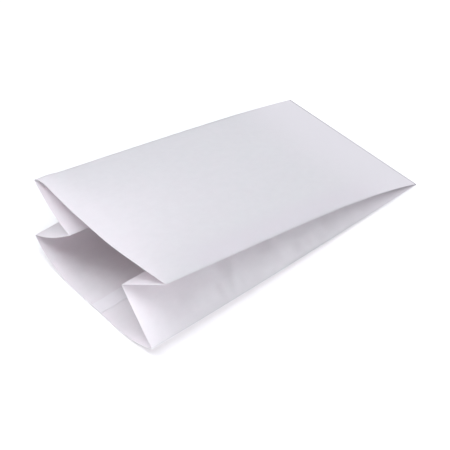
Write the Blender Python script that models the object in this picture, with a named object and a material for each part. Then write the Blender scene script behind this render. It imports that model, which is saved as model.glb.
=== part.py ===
"""White paper bag with side gussets, lying on its back panel with its mouth held open.

One sheet is folded into a flat tube: a front panel, a back panel and two side gussets, each
folded inwards along its middle. The tube is pinched flat at the bottom end. Opened at the mouth,
the front panel lifts off the ground and the back panel's two corners curl up. The paper bends but
never stretches, so every strip keeps its width across the bag and its length along it.

Metres, +Z up. The mouth faces -Y and the pinched end +Y; "far" is the -X side and "near" the +X
side. The origin is on the ground, under the middle of the bag.
"""
import bmesh
import bpy
import numpy as np
from mathutils import Vector
from mathutils.geometry import tessellate_polygon

# The bag laid flat
WIDTH = 0.130  # a panel, edge to edge
LENGTH = 0.248  # mouth to bottom end
GUSSET = 0.044  # a panel's edge to the fold along the middle of the side
WALL = 0.0004  # one layer, drawn about four sheets thick so that it is a sound solid

# How high the mouth's corners stand
FRONT_FAR = 0.0625
FRONT_NEAR = 0.0675
BACK_FAR = 0.0205
BACK_NEAR = 0.0125

# The front panel: it springs up steeply from the pinched end, then rises straight to the mouth
SPRING_FAR = 0.05  # share of the edge's height that it gains near the end
SPRING_NEAR = 0.14
SPRING_POWER = 8
FRONT_SAG = 0.0007  # middle of the mouth edge below its corners
FRONT_WAVE = 0.0023  # mouth edge lifted beside its far corner and dipping beyond the middle
WAVE_SKEW = 0.56  # below 1 moves the wave towards the far corner

# The back panel: flat on the ground between two curled margins
CURL_FAR = 0.41  # margin, as a share of the panel's width
CURL_NEAR = 0.35
CURL_POWER = 2.15

# The gussets
LOWER_FAR_BOW = -0.0017  # lower half of the far gusset hangs this far below a straight line

MOUTH_SHIFT = 0.001  # the open mouth leans this far towards the near side
PRESSED = 3 * WALL  # front layer above the back layer where four layers lie on each other
NOTCH_END = 0.006  # the gussets' valleys run to this distance from the bottom end
SEALED = 0.004  # the last stretch, where the layers are glued into one

# Fineness
STATIONS = 22
CROWDING = 0.35  # 0 spaces the stations evenly, more brings them together towards the end
PANEL_POINTS = 17
HALF_POINTS = 6
SIDE_POINTS = 2 * HALF_POINTS - 1  # both halves of a gusset share the point in their valley
CAP_STRETCH = 20
CAP_WAIST = 0.02
SURVEY_POINTS = 97  # points across each strip from which the loops are read

PAPER = (0.72, 0.70, 0.76, 1.0)
PAPER_ROUGHNESS = 0.75


def stations():
    """Distances from the mouth, closer together towards the bottom end, with the sealed stretch last."""
    share = np.linspace(0, 1, STATIONS)
    hollow = (LENGTH - NOTCH_END) * share * (1 + CROWDING * (1 - share))
    return np.append(hollow, [LENGTH - SEALED, LENGTH])


def rise(depth, spring):
    """Share of its height at the mouth that an edge of the front panel has at a depth."""
    return (1 - spring) * (1 - depth) + spring * (1 - depth ** SPRING_POWER)


def front_height(depth, across):
    """Height of the front panel; across runs from 0 at the far edge to 1 at the near edge."""
    far = FRONT_FAR * rise(depth, SPRING_FAR)
    near = FRONT_NEAR * rise(depth, SPRING_NEAR)
    sag = FRONT_SAG * (1 - depth) * np.sin(np.pi * across)
    wave = FRONT_WAVE * (1 - depth) ** 2 * np.sin(2 * np.pi * across ** WAVE_SKEW)
    return PRESSED + far * (1 - across) + near * across - sag + wave


def back_height(depth, across):
    """Height of the back panel over its flat middle."""
    far = BACK_FAR * np.clip(1 - across / CURL_FAR, 0, 1) ** CURL_POWER
    near = BACK_NEAR * np.clip(1 - (1 - across) / CURL_NEAR, 0, 1) ** CURL_POWER
    return (far + near) * (1 - depth)


def panel(height, depth):
    """Sideways places and heights of a panel, whose paper keeps its width as it curves."""
    across = np.linspace(0, 1, SURVEY_POINTS)
    z = height(depth[:, None], across[None, :])
    step = WIDTH / (SURVEY_POINTS - 1)
    run = np.sqrt(step ** 2 - np.diff(z, axis=1) ** 2)
    x = np.zeros_like(z)
    x[:, 1:] = np.cumsum(run, axis=1)
    middle = x[:, -1:] / 2 - MOUTH_SHIFT * (1 - depth[:, None])
    return x - middle, z


def fold(front_edge, back_edge, inwards):
    """Place of a gusset's fold: one gusset half away from both edges, on the bag's inner side."""
    gap = front_edge - back_edge
    span = np.hypot(gap[0], gap[1])
    reach = np.sqrt(GUSSET ** 2 - (span / 2) ** 2)
    return (front_edge + back_edge) / 2 + inwards * reach / span * np.array([gap[1], -gap[0]])


def gusset_half(edge, fold_place, depth, bow):
    """Sideways places and heights of half a gusset, from the panel's edge to the fold."""
    across = np.linspace(0, 1, SURVEY_POINTS)
    ends = edge[:, :, None] * (1 - across) + fold_place[:, :, None] * across
    hang = bow * (1 - depth[:, None]) * np.sin(np.pi * across)
    return ends[0], ends[1] + hang


def lengthwise(x, z, distance):
    """Places along the bag, counted back from the bottom end, where the paper keeps its length."""
    step = np.diff(distance)[:, None]
    run = np.sqrt(step ** 2 - np.diff(x, axis=0) ** 2 - np.diff(z, axis=0) ** 2)
    y = np.full_like(x, LENGTH)
    y[:-1] -= np.cumsum(run[::-1], axis=0)[::-1]
    return y


def paper_strips(distance):
    """The middle of the paper, strip by strip, as stations by points by x, y, z."""
    depth = distance / LENGTH
    flat = {"front": panel(front_height, depth), "back": panel(back_height, depth)}
    for side, column, inwards, bow in (("far", 0, 1, LOWER_FAR_BOW), ("near", -1, -1, 0)):
        front_edge = np.array([flat["front"][0][:, column], flat["front"][1][:, column]])
        back_edge = np.array([flat["back"][0][:, column], flat["back"][1][:, column]])
        fold_place = fold(front_edge, back_edge, inwards)
        flat[side + " upper"] = gusset_half(front_edge, fold_place, depth, 0)
        flat[side + " lower"] = gusset_half(back_edge, fold_place, depth, bow)
    return {name: np.stack([x, lengthwise(x, z, distance), z + WALL / 2], axis=2)
            for name, (x, z) in flat.items()}


def where_parted(panel_points, half_points):
    """How far along a gusset half, and along its panel, the two are one wall thickness apart."""
    share = np.linspace(0, 1, SURVEY_POINTS)
    panel_z = np.interp(half_points[:, 0], panel_points[:, 0], panel_points[:, 2])
    gap = np.abs(half_points[:, 2] - panel_z)
    on_half = np.interp(WALL, gap, share)
    x = np.interp(on_half, share, half_points[:, 0])
    return on_half, np.interp(x, panel_points[:, 0], share)


def where_halves_meet(upper, lower):
    """How far along a gusset its two halves are one wall thickness apart."""
    share = np.linspace(1, 0, SURVEY_POINTS)
    gap = upper[::-1, 2] - lower[::-1, 2]
    return np.interp(WALL, gap, share)


def trace(points, start, stop, count, side):
    """Evenly spaced points on one face of a strip; side is +1 for its upper face, -1 for its lower."""
    share = np.linspace(0, 1, SURVEY_POINTS)
    wanted = np.linspace(start, stop, count)
    line = np.stack([np.interp(wanted, share, points[:, axis]) for axis in range(3)], axis=1)
    line[:, 2] += side * WALL / 2
    return line


def outer_loop(strip):
    """Outside of the bag at one station, over the front and back by the near side."""
    near = where_halves_meet(strip["near upper"], strip["near lower"])
    far = where_halves_meet(strip["far upper"], strip["far lower"])
    return np.concatenate([
        trace(strip["front"], 0, 1, PANEL_POINTS, 1),
        trace(strip["near upper"], 0, near, HALF_POINTS, -1),
        trace(strip["near lower"], near, 0, HALF_POINTS, 1)[1:],
        trace(strip["back"], 1, 0, PANEL_POINTS, -1),
        trace(strip["far lower"], 0, far, HALF_POINTS, 1),
        trace(strip["far upper"], far, 0, HALF_POINTS, -1)[1:],
    ])


def inner_loop(strip):
    """Inside of the bag at one station, point for point beside the outer loop."""
    near_top, front_end = where_parted(strip["front"], strip["near upper"])
    far_top, front_start = where_parted(strip["front"], strip["far upper"])
    near_base, back_start = where_parted(strip["back"], strip["near lower"])
    far_base, back_end = where_parted(strip["back"], strip["far lower"])
    return np.concatenate([
        trace(strip["front"], front_start, front_end, PANEL_POINTS, -1),
        trace(strip["near upper"], near_top, 1, HALF_POINTS + 1, 1)[1:],
        trace(strip["near lower"], 1, near_base, HALF_POINTS, -1)[:-1],
        trace(strip["back"], back_start, back_end, PANEL_POINTS, 1),
        trace(strip["far lower"], far_base, 1, HALF_POINTS + 1, -1)[1:],
        trace(strip["far upper"], 1, far_top, HALF_POINTS, 1)[:-1],
    ])


def sealed_loop(strip):
    """Outside of the bag where its layers are one: two panels joined by plain straight sides."""
    front = trace(strip["front"], 0, 1, PANEL_POINTS, 1)
    back = trace(strip["back"], 1, 0, PANEL_POINTS, -1)
    share = np.linspace(0, 1, SIDE_POINTS + 2)[1:-1, None]
    near_side = front[-1] * (1 - share) + back[0] * share
    far_side = back[-1] * (1 - share) + front[0] * share
    return np.concatenate([front, near_side, back, far_side])


def cut_square(before, last):
    """The last loop slid back along the bag until it lies in one plane across it."""
    plane = last[:, 1].min()
    share = (plane - before[:, 1]) / (last[:, 1] - before[:, 1])
    return before + share[:, None] * (last - before)


def add_loop(mesh, points):
    return [mesh.verts.new(point) for point in points]


def join_loops(mesh, first, second):
    """Faces between two closed loops of as many points."""
    count = len(first)
    for i in range(count):
        after = (i + 1) % count
        mesh.faces.new((first[i], second[i], second[after], first[after]))


def close_cavity(mesh, ring, points):
    """A flat end for the bag's inside, split into triangles that run between its front and back.

    The section is far wider than it is high and its panels are straight, so it is split as if it
    were taller and narrow at the waist: no triangle then joins three points of one straight line.
    """
    middle = (points[:, 2].min() + points[:, 2].max()) / 2
    outline = [Vector((x, (z - middle) * CAP_STRETCH * (1 + (x / CAP_WAIST) ** 2), 0))
               for x, _, z in points]
    for corners in tessellate_polygon([outline]):
        mesh.faces.new([ring[i] for i in corners])


def close_sealed_end(mesh, ring):
    """The bottom end's narrow face: a row of quads between the panels and a fan at each side."""
    front = ring[:PANEL_POINTS]
    near_side = ring[PANEL_POINTS:PANEL_POINTS + SIDE_POINTS]
    back = ring[PANEL_POINTS + SIDE_POINTS:2 * PANEL_POINTS + SIDE_POINTS][::-1]
    far_side = ring[2 * PANEL_POINTS + SIDE_POINTS:][::-1]
    for i in range(1, PANEL_POINTS - 2):
        mesh.faces.new((front[i], front[i + 1], back[i + 1], back[i]))
    for last, side, inner in ((-1, near_side, -2), (0, far_side, 1)):
        edge = [front[last], *side, back[last], back[inner]]
        for first, second in zip(edge, edge[1:]):
            mesh.faces.new((front[inner], first, second))


def bag_mesh():
    """One closed skin: outside from mouth to end, the end's cap, inside, and the mouth's cut edge."""
    distance = stations()
    strips = paper_strips(distance)
    sections = [{name: points[i] for name, points in strips.items()} for i in range(len(distance))]
    outer = [outer_loop(section) for section in sections[:STATIONS]]
    outer += [sealed_loop(section) for section in sections[STATIONS:]]
    inner = [inner_loop(section) for section in sections[:STATIONS]]
    inner[-1] = cut_square(inner[-2], inner[-1])

    everything = np.concatenate(outer)
    middle = (everything.min(axis=0) + everything.max(axis=0)) / 2
    middle[2] = 0

    mesh = bmesh.new()
    outer_rings = [add_loop(mesh, loop - middle) for loop in outer]
    inner_rings = [add_loop(mesh, loop - middle) for loop in inner]
    for first, second in zip(outer_rings, outer_rings[1:]):
        join_loops(mesh, first, second)
    for first, second in zip(inner_rings, inner_rings[1:]):
        join_loops(mesh, second, first)
    join_loops(mesh, inner_rings[0], outer_rings[0])
    close_sealed_end(mesh, outer_rings[-1])
    close_cavity(mesh, inner_rings[-1], inner[-1])
    bmesh.ops.triangulate(mesh, faces=mesh.faces)
    bmesh.ops.recalc_face_normals(mesh, faces=mesh.faces)
    return mesh


def paper_material():
    material = bpy.data.materials.new("white_paper")
    material.use_nodes = True
    shader = material.node_tree.nodes["Principled BSDF"]
    shader.inputs["Base Color"].default_value = PAPER
    shader.inputs["Roughness"].default_value = PAPER_ROUGHNESS
    shader.inputs["Metallic"].default_value = 0
    return material


def build():
    for item in list(bpy.data.objects):
        bpy.data.objects.remove(item)
    data = bpy.data.meshes.new("bag")
    mesh = bag_mesh()
    mesh.to_mesh(data)
    mesh.free()
    data.materials.append(paper_material())
    bag = bpy.data.objects.new("bag", data)
    bpy.context.scene.collection.objects.link(bag)


build()
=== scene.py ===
"""The looks of a white paper bag with side gussets, lying on its back with its mouth held open.

Metres, +Z up. The mouth faces -Y and the pinched bottom end +Y; "far" is the -X side and "near" the
+X side.
"""
import math

import bpy
from mathutils import Matrix, Vector


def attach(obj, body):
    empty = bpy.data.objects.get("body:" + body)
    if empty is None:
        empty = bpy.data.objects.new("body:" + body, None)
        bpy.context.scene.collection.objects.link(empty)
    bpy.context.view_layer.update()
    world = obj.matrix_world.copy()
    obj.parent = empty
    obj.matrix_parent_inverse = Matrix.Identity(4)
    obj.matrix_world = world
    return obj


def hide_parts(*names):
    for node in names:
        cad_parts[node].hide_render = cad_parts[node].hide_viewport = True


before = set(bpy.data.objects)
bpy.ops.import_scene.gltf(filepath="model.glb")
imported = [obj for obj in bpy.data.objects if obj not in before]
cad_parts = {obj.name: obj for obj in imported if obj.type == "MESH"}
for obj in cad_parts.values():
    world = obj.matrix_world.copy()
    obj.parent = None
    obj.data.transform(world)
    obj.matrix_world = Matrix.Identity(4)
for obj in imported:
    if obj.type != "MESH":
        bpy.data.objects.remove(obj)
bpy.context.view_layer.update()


# ---------------------------------------------------------------------------------------------
# The bag: one sheet of bleached kraft folded into a flat tube, with a panel at the front and the
# back and a gusset folded inwards at each side, then opened at the mouth and lying on its back.
# Paper bends but never stretches, so each strip keeps its width across and its length along.
# ---------------------------------------------------------------------------------------------
PAPER_THICKNESS = 0.00015  # a sheet of 60 g paper is 0.09 mm, drawn thicker so that its edge shows
BAG_SIZES = [
    ("Panel Width", "Float", 0.130),
    ("Bag Length", "Float", 0.248),
    ("Gusset Half", "Float", 0.044),  # from a panel's edge to the fold along the middle of the side
    ("Sheet Step", "Float", 0.002),  # fineness of the modelled sheet: it divides the sizes above
    ("Far Front Height", "Float", 0.0625),  # how high the mouth's corners stand
    ("Near Front Height", "Float", 0.0675),
    ("Far Back Height", "Float", 0.0205),
    ("Near Back Height", "Float", 0.0125),
    ("Far Spring", "Float", 0.06),  # share of its height that a front edge gains near the end
    ("Near Spring", "Float", 0.165),
    ("Front Sag", "Float", 0.0007),  # middle of the mouth edge below its corners
    ("Front Wave", "Float", 0.0023),  # mouth edge lifted beside its far corner, low past the middle
    ("Far Curl", "Float", 0.41),  # the back panel's curled margins, as shares of its width
    ("Near Curl", "Float", 0.35),
    ("Far Upper Bow", "Float", -0.0020),  # how far a gusset half hangs below a straight line
    ("Far Lower Bow", "Float", -0.0017),
    ("Near Upper Bow", "Float", 0.0),
    ("Near Lower Bow", "Float", 0.0),
    ("Lower Belly", "Float", 0.003),  # how far a lower half bulges up, halfway down the bag
    ("Spring Power", "Float", 4.5),  # the higher, the shorter the stretch in which the edges spring up
    ("Wave Skew", "Float", 0.56),  # below 1 the wave's crest lies closer to the far corner
    ("Curl Power", "Float", 2.15),
    ("Pressed", "Float", 0.0006),  # four layers lying on each other
    ("Mouth Lean", "Float", 0.001),  # the open mouth leans this far to the near side
    ("Near Roll", "Float", 0.0004),  # the front panel rolls down to its near edge by this much
    ("Roll Width", "Float", 0.024),
    ("Roll Start", "Float", 0.02),  # where it sets in and is full, as shares of the length
    ("Roll Full", "Float", 0.2),
    ("Roll End", "Float", 0.08),  # share of the length over which it dies away before the end
    ("Corner Crease", "Float", 0.0008),  # height of the ridge across the front's far mouth corner
    ("Crease Place", "Float", 0.008),  # how far from the corner it runs
    ("Seam Start", "Float", 0.066),  # the back panel's glued lap, measured from its far edge
    ("Seam End", "Float", 0.076),
    ("Seam Lift", "Float", 0.00018),
    ("Front Cockle", "Float", 0.0002),  # soft unevenness of the panels
    ("Back Cockle", "Float", 0.0014),
    ("Gusset Cockle", "Float", 0.0016),
    ("Cockle Spacing", "Float", 0.035),
    ("Front Crumple", "Float", 0.0),
    ("Back Crumple", "Float", 0.0010),
    ("Gusset Crumple", "Float", 0.0027),  # sharper dents where a gusset half gave way
    ("Crumple Spacing", "Float", 0.013),
    ("Edge Ripple", "Float", 0.0018),  # how far the cut edge of the mouth strays
    ("Ripple Power", "Float", 12.0),  # the higher, the sooner that dies away behind the mouth
    ("Panel Calm", "Float", 0.1),  # share of the length before the end where panels grow smooth
    ("Gusset Calm", "Float", 0.5),  # and gussets, whose halves need room between each other
    ("Fold Calm", "Float", 0.5),  # the higher, the further a gusset's dents stay from its folds
    ("Upper Dents", "Float", 0.25),  # an upper half hangs free and has this share of the dents
    ("Bag Place", "Vector", (-0.00028, -0.124, 0.0002)),  # brings the bag's middle over the origin
]


def add(tree, kind, values=(), out=0, **settings):
    """Adds a node with its settings and its inputs, set or linked, and gives the wanted output."""
    node = tree.nodes.new(kind)
    for name, value in settings.items():
        setattr(node, name, value)
    for key, value in values.items() if isinstance(values, dict) else enumerate(values):
        if isinstance(value, bpy.types.NodeSocket):
            tree.links.new(value, node.inputs[key])
        elif value is not None:
            node.inputs[key].default_value = value
    return node.outputs[out]


def new_group(name, inputs, outputs):
    """A Geometry Nodes group with named inputs and outputs; gives it and what it takes and makes."""
    group = bpy.data.node_groups.new(name, "GeometryNodeTree")
    for label, kind, value in inputs:
        socket = group.interface.new_socket(label, in_out="INPUT", socket_type="NodeSocket" + kind)
        if value is not None:
            socket.default_value = value
    for label, kind in outputs:
        group.interface.new_socket(label, in_out="OUTPUT", socket_type="NodeSocket" + kind)
    return group, group.nodes.new("NodeGroupInput").outputs, group.nodes.new("NodeGroupOutput").inputs


# A panel that curves keeps its width: its points move together sideways as they rise and fall.
keep_width, given, made = new_group(
    "Keep Width",
    [("Height", "Float", 0), ("Rows", "Int", 2), ("Columns", "Int", 2), ("Step", "Float", 0)],
    [("Sideways", "Float")])
index = add(keep_width, "GeometryNodeInputIndex")
beside = add(keep_width, "ShaderNodeMath", (index, given["Rows"]), operation="ADD")
next_height = add(keep_width, "GeometryNodeFieldAtIndex", (given["Height"], beside))
climb = add(keep_width, "ShaderNodeMath", (next_height, given["Height"]), operation="SUBTRACT")
climb_squared = add(keep_width, "ShaderNodeMath", (climb, climb), operation="MULTIPLY")
step_squared = add(keep_width, "ShaderNodeMath", (given["Step"], given["Step"]), operation="MULTIPLY")
run_squared = add(keep_width, "ShaderNodeMath", (step_squared, climb_squared), operation="SUBTRACT")
run = add(keep_width, "ShaderNodeMath", (run_squared,), operation="SQRT")
row = add(keep_width, "ShaderNodeMath", (index, given["Rows"]), operation="FLOORED_MODULO")
from_far_edge = add(keep_width, "GeometryNodeAccumulateField", (run, row), out="Trailing")
steps = add(keep_width, "ShaderNodeMath", (given["Columns"], 1), operation="SUBTRACT")
last = add(keep_width, "ShaderNodeMath", (steps, given["Rows"], row), operation="MULTIPLY_ADD")
whole = add(keep_width, "GeometryNodeFieldAtIndex", (from_far_edge, last))
centred = add(keep_width, "ShaderNodeMath", (whole, -0.5, from_far_edge), operation="MULTIPLY_ADD")
keep_width.links.new(centred, made["Sideways"])

# A line along the bag keeps its length, counted from the pinched end, as it swings out and up.
keep_length, given, made = new_group(
    "Keep Length",
    [("Rows", "Int", 2), ("Step", "Float", 0), ("Length", "Float", 0)],
    [("Lengthwise", "Float")])
index = add(keep_length, "GeometryNodeInputIndex")
place = add(keep_length, "GeometryNodeInputPosition")
beyond = add(keep_length, "ShaderNodeMath", (index, 1), operation="ADD")
next_place = add(keep_length, "GeometryNodeFieldAtIndex", (place, beyond), data_type="FLOAT_VECTOR")
swing = add(keep_length, "ShaderNodeVectorMath", (next_place, place), operation="SUBTRACT")
swing_squared = add(keep_length, "ShaderNodeVectorMath", (swing, swing), out="Value", operation="DOT_PRODUCT")
step_squared = add(keep_length, "ShaderNodeMath", (given["Step"], given["Step"]), operation="MULTIPLY")
run_squared = add(keep_length, "ShaderNodeMath", (step_squared, swing_squared), operation="SUBTRACT")
run = add(keep_length, "ShaderNodeMath", (run_squared,), operation="SQRT")
row = add(keep_length, "ShaderNodeMath", (index, given["Rows"]), operation="FLOORED_MODULO")
last_row = add(keep_length, "ShaderNodeMath", (given["Rows"], 1), operation="SUBTRACT")
before_last = add(keep_length, "ShaderNodeMath", (row, last_row), operation="LESS_THAN")
run = add(keep_length, "ShaderNodeMath", (run, before_last), operation="MULTIPLY")
column = add(keep_length, "ShaderNodeMath", (index, given["Rows"]), operation="DIVIDE")
column = add(keep_length, "ShaderNodeMath", (column,), operation="FLOOR")
whole = add(keep_length, "GeometryNodeAccumulateField", (run, column), out="Total")
from_mouth = add(keep_length, "GeometryNodeAccumulateField", (run, column), out="Trailing")
to_end = add(keep_length, "ShaderNodeMath", (whole, from_mouth), operation="SUBTRACT")
lengthwise = add(keep_length, "ShaderNodeMath", (given["Length"], to_end), operation="SUBTRACT")
keep_length.links.new(lengthwise, made["Lengthwise"])

# One panel or gusset half: laid out flat as part of the sheet, with its share of cockles and
# crumples stored for later, and then bent.
lay_sheet, given, made = new_group(
    "Lay Sheet",
    [("Width", "Float", 0), ("Length", "Float", 0), ("Columns", "Int", 2), ("Rows", "Int", 2),
     ("Start", "Float", 0), ("Turn", "Float", 1), ("Bent", "Vector", None),
     ("Cockle", "Float", 0), ("Cockle Spacing", "Float", 1), ("Level", "Float", 0.5),
     ("Crumple", "Float", 0), ("Crumple Spacing", "Float", 1), ("Ridge", "Float", 0)],
    [("Sheet", "Geometry")])
flat_place = add(lay_sheet, "GeometryNodeInputPosition")
flat_x = add(lay_sheet, "ShaderNodeSeparateXYZ", (flat_place,), out="X")
flat_y = add(lay_sheet, "ShaderNodeSeparateXYZ", (flat_place,), out="Y")
from_left = add(lay_sheet, "ShaderNodeMath", (given["Width"], 0.5, flat_x), operation="MULTIPLY_ADD")
u = add(lay_sheet, "ShaderNodeMath", (from_left, given["Turn"], given["Start"]), operation="MULTIPLY_ADD")
v = add(lay_sheet, "ShaderNodeMath", (given["Length"], 0.5, flat_y), operation="MULTIPLY_ADD")
sheet_place = add(lay_sheet, "ShaderNodeCombineXYZ", {"X": u, "Y": v})
cockles_per_metre = add(lay_sheet, "ShaderNodeMath", (1, given["Cockle Spacing"]), operation="DIVIDE")
cockle = add(lay_sheet, "ShaderNodeTexNoise", {
    "Vector": sheet_place, "Scale": cockles_per_metre, "Detail": 1.5, "Roughness": 0.4}, out="Fac")
cockle = add(lay_sheet, "ShaderNodeMath", (cockle, given["Level"]), operation="SUBTRACT")
dents_per_metre = add(lay_sheet, "ShaderNodeMath", (1, given["Crumple Spacing"]), operation="DIVIDE")
dent = add(lay_sheet, "ShaderNodeTexVoronoi", {
    "Vector": sheet_place, "Scale": dents_per_metre, "Randomness": 0.9}, out="Distance")
dent = add(lay_sheet, "ShaderNodeMath", (dent, 0.45), operation="SUBTRACT")  # about its mean
relief = add(lay_sheet, "ShaderNodeMath", (cockle, given["Cockle"], given["Ridge"]), operation="MULTIPLY_ADD")
relief = add(lay_sheet, "ShaderNodeMath", (dent, given["Crumple"], relief), operation="MULTIPLY_ADD")
sheet = add(
    lay_sheet, "GeometryNodeMeshGrid", [given[label] for label in ("Width", "Length", "Columns", "Rows")])
sheet = add(lay_sheet, "GeometryNodeStoreNamedAttribute", {
    "Geometry": sheet, "Name": "UVMap", "Value": sheet_place}, data_type="FLOAT2", domain="CORNER")
sheet = add(lay_sheet, "GeometryNodeStoreNamedAttribute", {
    "Geometry": sheet, "Name": "Relief", "Value": relief}, data_type="FLOAT", domain="POINT")
sheet = add(lay_sheet, "GeometryNodeSetPosition", {"Geometry": sheet, "Position": given["Bent"]})
lay_sheet.links.new(sheet, made["Sheet"])

fold_bag, given, made = new_group(
    "Fold Bag", [("Geometry", "Geometry", None), *BAG_SIZES, ("Paper", "Material", None)],
    [("Geometry", "Geometry")])
width, length, step, half = [
    given[label] for label in ("Panel Width", "Bag Length", "Sheet Step", "Gusset Half")]
panel_columns, half_columns, rows = [
    add(fold_bag, "FunctionNodeFloatToInt", (
        add(fold_bag, "ShaderNodeMath", (
            add(fold_bag, "ShaderNodeMath", (size, step), operation="DIVIDE"), 1), operation="ADD"),),
        rounding_mode="ROUND")
    for size in (width, half, length)]

flat_place = add(fold_bag, "GeometryNodeInputPosition")
flat_x = add(fold_bag, "ShaderNodeSeparateXYZ", (flat_place,), out="X")
flat_y = add(fold_bag, "ShaderNodeSeparateXYZ", (flat_place,), out="Y")
depth = add(fold_bag, "ShaderNodeMath", (flat_y, length), operation="DIVIDE")
depth = add(fold_bag, "ShaderNodeMath", (depth, 0.5), operation="ADD")  # 0 at the mouth, 1 at the end
left = add(fold_bag, "ShaderNodeMath", (1, depth), operation="SUBTRACT")
across = add(fold_bag, "ShaderNodeMath", (flat_x, width), operation="DIVIDE")
across = add(fold_bag, "ShaderNodeMath", (across, 0.5), operation="ADD")  # 0 far, 1 near
back_across = add(fold_bag, "ShaderNodeMath", (1, across), operation="SUBTRACT")
arch = add(fold_bag, "ShaderNodeMath", (across, math.pi), operation="MULTIPLY")
arch = add(fold_bag, "ShaderNodeMath", (arch,), operation="SINE")
by_mouth = add(fold_bag, "ShaderNodeMath", (left, given["Ripple Power"]), operation="POWER")
index = add(fold_bag, "GeometryNodeInputIndex")
row = add(fold_bag, "ShaderNodeMath", (index, rows), operation="FLOORED_MODULO")

# Front panel: each edge springs up near the pinched end and rises straight to the mouth, with a
# shallow S between them. It rolls down a little to its near edge.
late = add(fold_bag, "ShaderNodeMath", (depth, given["Spring Power"]), operation="POWER")
late = add(fold_bag, "ShaderNodeMath", (1, late), operation="SUBTRACT")
edge_heights = []
for side in ("Far", "Near"):
    rise = add(fold_bag, "ShaderNodeMix", {0: given[side + " Spring"], 2: left, 3: late})
    edge_heights.append(
        add(fold_bag, "ShaderNodeMath", (rise, given[side + " Front Height"]), operation="MULTIPLY"))
front_height = add(fold_bag, "ShaderNodeMix", {0: across, 2: edge_heights[0], 3: edge_heights[1]})
sag = add(fold_bag, "ShaderNodeMath", (arch, left), operation="MULTIPLY")
sag = add(fold_bag, "ShaderNodeMath", (sag, given["Front Sag"]), operation="MULTIPLY")
front_height = add(fold_bag, "ShaderNodeMath", (front_height, sag), operation="SUBTRACT")
swell = add(fold_bag, "ShaderNodeMath", (across, given["Wave Skew"]), operation="POWER")
swell = add(fold_bag, "ShaderNodeMath", (swell, 2 * math.pi), operation="MULTIPLY")
swell = add(fold_bag, "ShaderNodeMath", (swell,), operation="SINE")
fade = add(fold_bag, "ShaderNodeMath", (left, left), operation="MULTIPLY")
swell = add(fold_bag, "ShaderNodeMath", (swell, fade), operation="MULTIPLY")
front_height = add(
    fold_bag, "ShaderNodeMath", (swell, given["Front Wave"], front_height), operation="MULTIPLY_ADD")
front_height = add(fold_bag, "ShaderNodeMath", (front_height, given["Pressed"]), operation="ADD")
to_near_edge = add(fold_bag, "ShaderNodeMath", (back_across, width), operation="MULTIPLY")
roll = add(fold_bag, "ShaderNodeMapRange", {
    "Value": to_near_edge, "From Max": given["Roll Width"]}, interpolation_type="SMOOTHERSTEP")
roll = add(fold_bag, "ShaderNodeMath", (roll, across), operation="MULTIPLY")
roll_fade = add(fold_bag, "ShaderNodeMapRange", {
    "Value": depth, "From Min": given["Roll Start"], "From Max": given["Roll Full"]},
    interpolation_type="SMOOTHSTEP")
roll = add(fold_bag, "ShaderNodeMath", (roll, roll_fade), operation="MULTIPLY")
roll_end = add(fold_bag, "ShaderNodeMapRange", {
    "Value": left, "From Max": given["Roll End"]}, interpolation_type="SMOOTHSTEP")
roll = add(fold_bag, "ShaderNodeMath", (roll, roll_end), operation="MULTIPLY")
front_height = add(
    fold_bag, "ShaderNodeMath", (roll, given["Near Roll"], front_height), operation="MULTIPLY_ADD")

# Back panel: flat on the table between two margins that curl up.
curls = []
for side, from_edge in (("Far", across), ("Near", back_across)):
    curl = add(fold_bag, "ShaderNodeMapRange", {
        "Value": from_edge, "From Max": given[side + " Curl"], "To Min": 1.0, "To Max": 0.0})
    curl = add(fold_bag, "ShaderNodeMath", (curl, given["Curl Power"]), operation="POWER")
    curls.append(
        add(fold_bag, "ShaderNodeMath", (curl, given[side + " Back Height"]), operation="MULTIPLY"))
back_height = add(fold_bag, "ShaderNodeMath", curls, operation="ADD")
back_height = add(fold_bag, "ShaderNodeMath", (back_height, left), operation="MULTIPLY")

# The front's far mouth corner has a short ridge across it, a thumb's crease.
from_far = add(fold_bag, "ShaderNodeMath", (across, width), operation="MULTIPLY")
from_mouth = add(fold_bag, "ShaderNodeMath", (depth, length), operation="MULTIPLY")
from_corner = add(fold_bag, "ShaderNodeMath", (from_far, from_mouth), operation="ADD")
from_corner = add(fold_bag, "ShaderNodeMath", (from_corner, math.sqrt(0.5)), operation="MULTIPLY")
from_crease = add(fold_bag, "ShaderNodeMath", (from_corner, given["Crease Place"]), operation="SUBTRACT")
from_crease = add(fold_bag, "ShaderNodeMath", (from_crease,), operation="ABSOLUTE")
corner_ridge = add(fold_bag, "ShaderNodeMapRange", {
    "Value": from_crease, "From Max": given["Crease Place"],
    "To Min": given["Corner Crease"], "To Max": 0.0})

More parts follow.
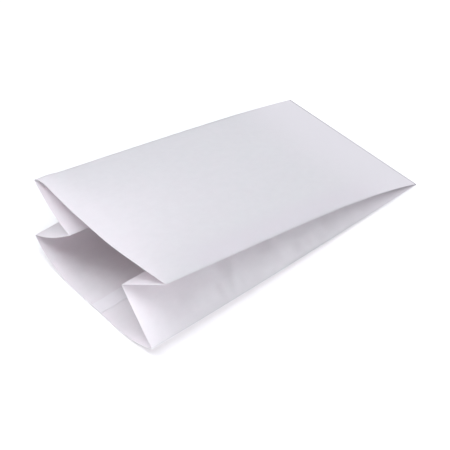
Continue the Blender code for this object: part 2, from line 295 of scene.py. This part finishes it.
ripple = add(fold_bag, "ShaderNodeMath", (by_mouth, given["Edge Ripple"]), operation="MULTIPLY")
lively = add(fold_bag, "ShaderNodeMapRange", {"Value": left, "From Max": given["Panel Calm"]})
panels = {}
for name, height, starts, turn, ridge, level in (
        ("Front", front_height, (0, 0), 1, corner_ridge, 0.5), ("Back", back_height, (2, 2), -1, 0.0, 1.0)):
    sideways = add(fold_bag, "GeometryNodeGroup", {}, node_tree=keep_width)
    for label, value in (("Height", height), ("Rows", rows), ("Columns", panel_columns), ("Step", step)):
        fold_bag.links.new(value, sideways.node.inputs[label])
    sideways = add(
        fold_bag, "ShaderNodeMath", (left, given["Mouth Lean"], sideways), operation="MULTIPLY_ADD")
    bent = add(fold_bag, "ShaderNodeCombineXYZ", {"X": sideways, "Z": height})
    start = add(fold_bag, "ShaderNodeMath", (width, starts[0]), operation="MULTIPLY")
    start = add(fold_bag, "ShaderNodeMath", (half, starts[1], start), operation="MULTIPLY_ADD")
    cockle = add(
        fold_bag, "ShaderNodeMath", (lively, given[name + " Cockle"], ripple), operation="MULTIPLY_ADD")
    cockle = add(fold_bag, "ShaderNodeMath", (cockle, arch), operation="MULTIPLY")
    crumple = add(fold_bag, "ShaderNodeMath", (lively, given[name + " Crumple"]), operation="MULTIPLY")
    crumple = add(fold_bag, "ShaderNodeMath", (crumple, arch), operation="MULTIPLY")
    panels[name] = add(fold_bag, "GeometryNodeGroup", {}, node_tree=lay_sheet)
    for label, value in (
            ("Width", width), ("Length", length), ("Columns", panel_columns), ("Rows", rows),
            ("Start", start), ("Turn", turn), ("Bent", bent), ("Cockle", cockle),
            ("Cockle Spacing", given["Cockle Spacing"]), ("Crumple", crumple),
            ("Crumple Spacing", given["Crumple Spacing"]), ("Level", level), ("Ridge", ridge)):
        if isinstance(value, bpy.types.NodeSocket):
            fold_bag.links.new(value, panels[name].node.inputs[label])
        else:
            panels[name].node.inputs[label].default_value = value

# Gussets: the fold along a side's middle lies one half's width away from both panels' edges.
from_edge = add(fold_bag, "ShaderNodeMath", (flat_x, half), operation="DIVIDE")
from_edge = add(fold_bag, "ShaderNodeMath", (from_edge, 0.5), operation="ADD")
bow_arch = add(fold_bag, "ShaderNodeMath", (from_edge, math.pi), operation="MULTIPLY")
bow_arch = add(fold_bag, "ShaderNodeMath", (bow_arch,), operation="SINE")
bow = add(fold_bag, "ShaderNodeMath", (bow_arch, left), operation="MULTIPLY")
halfway = add(fold_bag, "ShaderNodeMath", (depth, math.pi), operation="MULTIPLY")
halfway = add(fold_bag, "ShaderNodeMath", (halfway,), operation="SINE")
belly = add(fold_bag, "ShaderNodeMath", (bow_arch, halfway), operation="MULTIPLY")
inside_folds = add(fold_bag, "ShaderNodeMapRange", {
    "Value": bow_arch, "From Max": given["Fold Calm"]}, interpolation_type="SMOOTHSTEP")
dented = add(fold_bag, "ShaderNodeMath", (inside_folds, halfway), operation="MULTIPLY")
crumple = add(fold_bag, "ShaderNodeMath", (dented, given["Gusset Crumple"]), operation="MULTIPLY")
gusset_cockle = add(fold_bag, "ShaderNodeMath", (inside_folds, given["Gusset Cockle"]), operation="MULTIPLY")
room = add(fold_bag, "ShaderNodeMapRange", {"Value": left, "From Max": given["Gusset Calm"]})
gusset_cockle = add(fold_bag, "ShaderNodeMath", (gusset_cockle, room), operation="MULTIPLY")
crumple = add(fold_bag, "ShaderNodeMath", (crumple, room), operation="MULTIPLY")
upper_crumple = add(fold_bag, "ShaderNodeMath", (crumple, given["Upper Dents"]), operation="MULTIPLY")
dents = {"Lower": crumple, "Upper": upper_crumple}
last_column = add(fold_bag, "ShaderNodeMath", (panel_columns, 1), operation="SUBTRACT")
last_index = add(fold_bag, "ShaderNodeMath", (last_column, rows, row), operation="MULTIPLY_ADD")
halves = {}
for side, edge_index, inwards in (("Far", row, 1), ("Near", last_index, -1)):
    edges = {
        part: add(
            fold_bag, "GeometryNodeSampleIndex", (panels[panel], flat_place, edge_index),
            data_type="FLOAT_VECTOR")
        for part, panel in (("Upper", "Front"), ("Lower", "Back"))}
    gap = add(fold_bag, "ShaderNodeVectorMath", (edges["Upper"], edges["Lower"]), operation="SUBTRACT")
    half_gap = add(fold_bag, "ShaderNodeVectorMath", (gap,), out="Value", operation="LENGTH")
    half_gap = add(fold_bag, "ShaderNodeMath", (half_gap, 0.5), operation="MULTIPLY")
    half_gap_squared = add(fold_bag, "ShaderNodeMath", (half_gap, half_gap), operation="MULTIPLY")
    half_squared = add(fold_bag, "ShaderNodeMath", (half, half), operation="MULTIPLY")
    reach = add(fold_bag, "ShaderNodeMath", (half_squared, half_gap_squared), operation="SUBTRACT")
    reach = add(fold_bag, "ShaderNodeMath", (reach,), operation="SQRT")
    direction = add(fold_bag, "ShaderNodeVectorMath", ((0, inwards, 0), gap), operation="CROSS_PRODUCT")
    direction = add(fold_bag, "ShaderNodeVectorMath", (direction,), operation="NORMALIZE")
    reach = add(fold_bag, "ShaderNodeVectorMath", {"Vector": direction, "Scale": reach}, operation="SCALE")
    fold = add(fold_bag, "ShaderNodeVectorMath", (edges["Upper"], edges["Lower"]), operation="ADD")
    fold = add(fold_bag, "ShaderNodeVectorMath", (fold, (0.5, 0.5, 0.5), reach), operation="MULTIPLY_ADD")
    for part in ("Upper", "Lower"):
        hang = add(fold_bag, "ShaderNodeMath", (bow, given[side + " " + part + " Bow"]), operation="MULTIPLY")
        if part == "Lower":
            hang = add(
                fold_bag, "ShaderNodeMath", (belly, given["Lower Belly"], hang), operation="MULTIPLY_ADD")
        hang = add(fold_bag, "ShaderNodeCombineXYZ", {"Z": hang})
        bent = add(
            fold_bag, "ShaderNodeMix", {0: from_edge, 4: edges[part], 5: fold}, out=1, data_type="VECTOR")
        bent = add(fold_bag, "ShaderNodeVectorMath", (bent, hang), operation="ADD")
        # Panels and halves that lie before this half in the sheet, and which way it runs from there.
        starts, turn = {("Near", "Upper"): ((1, 0), 1), ("Near", "Lower"): ((1, 2), -1),
                        ("Far", "Lower"): ((2, 2), 1), ("Far", "Upper"): ((2, 4), -1)}[side, part]
        start = add(fold_bag, "ShaderNodeMath", (width, starts[0]), operation="MULTIPLY")
        start = add(fold_bag, "ShaderNodeMath", (half, starts[1], start), operation="MULTIPLY_ADD")
        halves[side, part] = add(fold_bag, "GeometryNodeGroup", {}, node_tree=lay_sheet)
        for label, value in (
                ("Width", half), ("Length", length), ("Columns", half_columns), ("Rows", rows),
                ("Start", start), ("Bent", bent), ("Cockle", gusset_cockle),
                ("Cockle Spacing", given["Cockle Spacing"]), ("Crumple", dents[part]),
                ("Crumple Spacing", given["Crumple Spacing"])):
            fold_bag.links.new(value, halves[side, part].node.inputs[label])
        halves[side, part].node.inputs["Turn"].default_value = turn

# The lap: the sheet's two edges overlap along the back panel, the inner layer lying on the outer.
sheet_place = add(fold_bag, "GeometryNodeInputNamedAttribute", {"Name": "UVMap"}, data_type="FLOAT_VECTOR")
u = add(fold_bag, "ShaderNodeSeparateXYZ", (sheet_place,), out="X")
back_far_edge = add(fold_bag, "ShaderNodeMath", (width, half), operation="ADD")
back_far_edge = add(fold_bag, "ShaderNodeMath", (back_far_edge, 2), operation="MULTIPLY")
from_far_edge = add(fold_bag, "ShaderNodeMath", (back_far_edge, u), operation="SUBTRACT")
past_start = add(fold_bag, "ShaderNodeMath", (from_far_edge, given["Seam Start"]), operation="GREATER_THAN")
short_of_end = add(fold_bag, "ShaderNodeMath", (from_far_edge, given["Seam End"]), operation="LESS_THAN")
in_seam = add(fold_bag, "ShaderNodeMath", (past_start, short_of_end), operation="MULTIPLY")
seam = add(fold_bag, "GeometryNodeSeparateGeometry", (panels["Back"], in_seam), domain="FACE")
seam_lift = add(fold_bag, "ShaderNodeCombineXYZ", {"Z": given["Seam Lift"]})
seam = add(fold_bag, "GeometryNodeSetPosition", {"Geometry": seam, "Offset": seam_lift})
# Its layers come from opposite ends of the sheet, so their fibres don't match.
two_panels = add(fold_bag, "ShaderNodeMath", (width, 2), operation="MULTIPLY")
two_panels = add(fold_bag, "ShaderNodeCombineXYZ", {"X": two_panels})
own_place = add(fold_bag, "ShaderNodeVectorMath", (sheet_place, two_panels), operation="ADD")
seam = add(fold_bag, "GeometryNodeStoreNamedAttribute", {
    "Geometry": seam, "Name": "UVMap", "Value": own_place}, data_type="FLOAT2", domain="CORNER")
seam = add(fold_bag, "GeometryNodeStoreNamedAttribute", {
    "Geometry": seam, "Name": "Doubled", "Value": 1.0}, data_type="FLOAT", domain="POINT")

turned = [add(fold_bag, "GeometryNodeFlipFaces", (part,))
          for part in (panels["Back"], seam, halves["Near", "Lower"], halves["Far", "Upper"])]
joined = fold_bag.nodes.new("GeometryNodeJoinGeometry")
for part in (panels["Front"], halves["Near", "Upper"], halves["Far", "Lower"], *turned):
    fold_bag.links.new(part, joined.inputs[0])
lengthwise = add(fold_bag, "GeometryNodeGroup", {}, node_tree=keep_length)
for label, value in (("Rows", rows), ("Step", step), ("Length", length)):
    fold_bag.links.new(value, lengthwise.node.inputs[label])
lengthwise = add(fold_bag, "ShaderNodeCombineXYZ", {"Y": lengthwise})
bag = add(fold_bag, "GeometryNodeSetPosition", {"Geometry": joined.outputs[0], "Offset": lengthwise})

# The pinched end is a fold too: the front panel turns round it into the back panel.
end_steps = add(fold_bag, "ShaderNodeMath", (flat_y, given["Pressed"]), operation="DIVIDE")
turn_share = add(fold_bag, "ShaderNodeMath", (end_steps, 0.5), operation="ADD")
turn_angle = add(fold_bag, "ShaderNodeMath", (turn_share, math.pi), operation="MULTIPLY")
end_radius = add(fold_bag, "ShaderNodeMath", (given["Pressed"], 0.5), operation="MULTIPLY")
out_y = add(fold_bag, "ShaderNodeMath", (turn_angle,), operation="SINE")
out_y = add(fold_bag, "ShaderNodeMath", (out_y, end_radius, length), operation="MULTIPLY_ADD")
out_z = add(fold_bag, "ShaderNodeMath", (turn_angle,), operation="COSINE")
out_z = add(fold_bag, "ShaderNodeMath", (out_z, end_radius, end_radius), operation="MULTIPLY_ADD")
end_bent = add(fold_bag, "ShaderNodeCombineXYZ", {"X": flat_x, "Y": out_y, "Z": out_z})
END_FOLD_ROWS = 7  # enough for a round turn 0.6 mm high
end_fold = add(fold_bag, "GeometryNodeMeshGrid", (width, given["Pressed"], panel_columns, END_FOLD_ROWS))
end_u = add(fold_bag, "ShaderNodeMath", (width, 0.5, flat_x), operation="MULTIPLY_ADD")
end_v = add(fold_bag, "ShaderNodeMath", (flat_y, length), operation="ADD")
end_place = add(fold_bag, "ShaderNodeCombineXYZ", {"X": end_u, "Y": end_v})
end_fold = add(fold_bag, "GeometryNodeStoreNamedAttribute", {
    "Geometry": end_fold, "Name": "UVMap", "Value": end_place}, data_type="FLOAT2", domain="CORNER")
end_fold = add(fold_bag, "GeometryNodeSetPosition", {"Geometry": end_fold, "Position": end_bent})
whole_bag = fold_bag.nodes.new("GeometryNodeJoinGeometry")
for part in (bag, end_fold):
    fold_bag.links.new(part, whole_bag.inputs[0])
bag = add(fold_bag, "GeometryNodeMergeByDistance", {
    "Geometry": whole_bag.outputs[0], "Distance": 0.000005})  # closer than any two layers
relief = add(fold_bag, "GeometryNodeInputNamedAttribute", {"Name": "Relief"}, data_type="FLOAT")
normal = add(fold_bag, "GeometryNodeInputNormal")
relief = add(fold_bag, "ShaderNodeVectorMath", {"Vector": normal, "Scale": relief}, operation="SCALE")
shift = add(fold_bag, "ShaderNodeVectorMath", (relief, given["Bag Place"]), operation="ADD")
bag = add(fold_bag, "GeometryNodeSetPosition", {"Geometry": bag, "Offset": shift})
bag = add(fold_bag, "GeometryNodeRealizeInstances", (bag,))
bag = add(fold_bag, "GeometryNodeSetMaterial", {"Geometry": bag, "Material": given["Paper"]})
fold_bag.links.new(bag, made["Geometry"])


def linear(hex_colour):
    """A colour given as sRGB hex, as the shader takes it."""
    channels = [int(hex_colour[i:i + 2], 16) / 255 for i in (0, 2, 4)]
    return tuple(c / 12.92 if c <= 0.04045 else ((c + 0.055) / 1.055) ** 2.4 for c in channels) + (1.0,)


# Bleached kraft, 60 to 80 g, machine glazed: the fibres lie along the bag and clump into faint
# clouds, pressing them on a hot drum leaves a dull satin face, and strong light shines through.
paper = bpy.data.materials.new("bleached kraft paper, machine glazed")
paper.use_nodes = True
nodes = paper.node_tree
shader = nodes.nodes["Principled BSDF"]
sheet_place = add(nodes, "ShaderNodeTexCoord", out="UV")
cloud_place = add(nodes, "ShaderNodeMapping", {"Vector": sheet_place, "Scale": (1 / 0.005, 1 / 0.008, 1)})
cloud = add(nodes, "ShaderNodeTexNoise", {
    "Vector": cloud_place, "Scale": 1.0, "Detail": 4.0, "Roughness": 0.6}, out="Fac")
# A fibre is 0.03 mm by 2 mm, drawn 0.5 mm by 4 mm so that it shows.
fibre_place = add(nodes, "ShaderNodeMapping", {"Vector": sheet_place, "Scale": (1 / 0.0005, 1 / 0.004, 1)})
fibre = add(nodes, "ShaderNodeTexNoise", {
    "Vector": fibre_place, "Scale": 1.0, "Detail": 2.0, "Roughness": 0.55, "Distortion": 0.6}, out="Fac")
tint = add(nodes, "ShaderNodeMapRange", {
    "Value": cloud, "From Min": 0.3, "From Max": 0.7}, interpolation_type="SMOOTHSTEP")
tint = add(
    nodes, "ShaderNodeMix", {0: tint, 6: linear("EAE3E7"), 7: linear("ECE5E9")}, out=2, data_type="RGBA")
sizes = {label: value for label, _, value in BAG_SIZES}
panel_width, bag_length = sizes["Panel Width"], sizes["Bag Length"]
# Painted shade: the colour along the front's near edge is darkened to stand in for the shaded gusset under
# it, which swallows the light that shines through.
u = add(nodes, "ShaderNodeSeparateXYZ", (sheet_place,), out="X")
v = add(nodes, "ShaderNodeSeparateXYZ", (sheet_place,), out="Y")
near_margin_painted_shade = add(nodes, "ShaderNodeMapRange", {
    "Value": u, "From Min": panel_width - 0.030, "From Max": panel_width - 0.008},
    interpolation_type="SMOOTHSTEP")
on_front = add(nodes, "ShaderNodeMath", (u, panel_width), operation="LESS_THAN")
near_margin_painted_shade = add(nodes, "ShaderNodeMath", (near_margin_painted_shade, on_front), operation="MULTIPLY")
behind_mouth = add(nodes, "ShaderNodeMapRange", {
    "Value": v, "From Min": 0.01, "From Max": 0.05}, interpolation_type="SMOOTHSTEP")
near_margin_painted_shade = add(nodes, "ShaderNodeMath", (near_margin_painted_shade, behind_mouth), operation="MULTIPLY")
# mixes the near edge's painted shade into the paper colour
tint = add(nodes, "ShaderNodeMix", {0: near_margin_painted_shade, 6: tint, 7: linear("E9DFE6")}, out=2, data_type="RGBA")
# In the lap, and towards the pinched end, where the layers come to lie on each other, light no
# longer shines through but comes back, so the paper looks whiter there.
doubled = add(nodes, "ShaderNodeAttribute", {}, out="Fac", attribute_name="Doubled")
stacked = add(nodes, "ShaderNodeMapRange", {
    "Value": v, "From Min": bag_length - 0.080, "From Max": bag_length - 0.014},
    interpolation_type="SMOOTHSTEP")
stacked = add(nodes, "ShaderNodeMath", (stacked, doubled), operation="MAXIMUM")
tint = add(nodes, "ShaderNodeMix", {0: stacked, 6: tint, 7: linear("E9E5E8")}, out=2, data_type="RGBA")
tint = add(nodes, "ShaderNodeMix", {0: doubled, 6: tint, 7: linear("EFEBEE")}, out=2, data_type="RGBA")
shining_through = add(nodes, "ShaderNodeMath", (1, stacked), operation="SUBTRACT")
nodes.links.new(shining_through, shader.inputs["Subsurface Weight"])
# A thin grey line painted along the fold at the pinched end: painted shade where the sheet turns down round
# the fold.
end_fold_painted_shade = add(nodes, "ShaderNodeMapRange", {
    "Value": v, "From Min": bag_length - 0.0011, "From Max": bag_length - 0.0004})
tint = add(nodes, "ShaderNodeMix", {0: end_fold_painted_shade, 6: tint, 7: linear("A8A0A6")}, out=2, data_type="RGBA")
speck = add(nodes, "ShaderNodeMapRange", {
    "Value": fibre, "From Min": 0.35, "From Max": 0.65, "To Min": 0.987, "To Max": 1.0})
tint = add(
    nodes, "ShaderNodeMix", {0: 1.0, 6: tint, 7: speck}, out=2, data_type="RGBA", blend_type="MULTIPLY")
nodes.links.new(tint, shader.inputs["Base Color"])
gloss = add(nodes, "ShaderNodeMapRange", {
    "Value": fibre, "From Min": 0.3, "From Max": 0.7, "To Min": 0.58, "To Max": 0.72})
nodes.links.new(gloss, shader.inputs["Roughness"])
grain = add(nodes, "ShaderNodeMath", (cloud, 2.0, fibre), operation="MULTIPLY_ADD")
bump = add(nodes, "ShaderNodeBump", {"Height": grain, "Strength": 0.25, "Distance": 0.00004}, out="Normal")
nodes.links.new(bump, shader.inputs["Normal"])
shader.inputs["IOR"].default_value = 1.5
shader.inputs["Subsurface Radius"].default_value = (1.1, 1.0, 1.03)
shader.inputs["Subsurface Scale"].default_value = 0.0004

holder = bpy.data.objects.new("bag holder", bpy.data.meshes.new("bag holder"))
bpy.context.scene.collection.objects.link(holder)
folding = holder.modifiers.new("Fold Bag", "NODES")
folding.node_group = fold_bag
values = sizes | {"Paper": paper}
for item in fold_bag.interface.items_tree:
    if item.in_out == "INPUT" and item.name in values:
        folding[item.identifier] = values[item.name]
thicken = holder.modifiers.new("Paper Thickness", "SOLIDIFY")
thicken.thickness = PAPER_THICKNESS
thicken.offset = 0
mesh = bpy.data.meshes.new_from_object(holder.evaluated_get(bpy.context.evaluated_depsgraph_get()))
bpy.data.objects.remove(holder)
mesh.attributes.remove(mesh.attributes["Relief"])
mesh.set_sharp_from_angle(angle=math.radians(35))
bag = bpy.data.objects.new("paper_bag", mesh)
bpy.context.scene.collection.objects.link(bag)
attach(bag, "root")
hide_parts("bag")


# ---------------------------------------------------------------------------------------------
# The table: a white acrylic sheet, lit a little from below so that it shows almost no shadow.
# ---------------------------------------------------------------------------------------------
table_mesh = bpy.data.meshes.new("table")
TABLE_HALF = 3
table_mesh.from_pydata(
    [(x * TABLE_HALF, y * TABLE_HALF, 0) for x, y in ((-1, -1), (1, -1), (1, 1), (-1, 1))],
    [], [(0, 1, 2, 3)])
table = bpy.data.objects.new("table", table_mesh)
bpy.context.scene.collection.objects.link(table)
acrylic = bpy.data.materials.new("white acrylic table, lit from below")
acrylic.use_nodes = True
acrylic_shader = acrylic.node_tree.nodes["Principled BSDF"]
acrylic_shader.inputs["Base Color"].default_value = linear("FBFBFB")
acrylic_shader.inputs["Roughness"].default_value = 0.9
acrylic_shader.inputs["Emission Color"].default_value = (1, 1, 1, 1)
acrylic_shader.inputs["Emission Strength"].default_value = 0.16
table_mesh.materials.append(acrylic)


# ---------------------------------------------------------------------------------------------
# The studio: three round softboxes, 2 m wide and 3 m away, aimed at the bag. One shines into the
# mouth, one stands low beside the near gusset, and one hangs overhead.
# ---------------------------------------------------------------------------------------------
SOFTBOX_WIDTH, SOFTBOX_DISTANCE = 2.0, 3.0
for name, azimuth, elevation, watts in (  # degrees from the mouth round to the near side, and up
        ("softbox over the mouth's far corner", -45, 61, 43),
        ("softbox low beside the near gusset", 127, 30, 39),
        ("softbox overhead", 50, 74, 46)):
    softbox = bpy.data.lights.new(name, "AREA")
    softbox.shape = "DISK"
    softbox.size = SOFTBOX_WIDTH
    softbox.energy = watts
    softbox.color = (0.98, 1.0, 1.05)
    lamp = bpy.data.objects.new(name, softbox)
    azimuth, elevation = math.radians(azimuth), math.radians(elevation)
    towards = Vector((
        math.sin(azimuth) * math.cos(elevation),
        -math.cos(azimuth) * math.cos(elevation),
        math.sin(elevation)))
    lamp.location = SOFTBOX_DISTANCE * towards
    lamp.rotation_euler = towards.to_track_quat("Z", "Y").to_euler()
    bpy.context.scene.collection.objects.link(lamp)

world = bpy.data.worlds.new("dim white room")
world.use_nodes = True
world.node_tree.nodes["Background"].inputs["Color"].default_value = (0.97, 1.0, 1.03, 1)
world.node_tree.nodes["Background"].inputs["Strength"].default_value = 0.02
bpy.context.scene.world = world

# The camera looks down on the mouth's near corner, with a long lens 0.8 m away.
camera_data = bpy.data.cameras.new("camera")
camera_data.lens = 92
camera_data.sensor_width = 36
camera_data.clip_start = 0.01
camera = bpy.data.objects.new("camera", camera_data)
azimuth, elevation, roll = 0.80939, 0.78613, 0.02412  # radians: 46, 45 and 1.4 degrees
camera.location = (0.41492822, -0.40098614, 0.57058149)
camera.rotation_euler = (
    Matrix.Rotation(azimuth, 3, "Z") @ Matrix.Rotation(math.pi / 2 - elevation, 3, "X")
    @ Matrix.Rotation(roll, 3, "Z")).to_euler()
bpy.context.scene.collection.objects.link(camera)
bpy.context.scene.camera = camera
bpy.context.scene.view_settings.view_transform = "Standard"
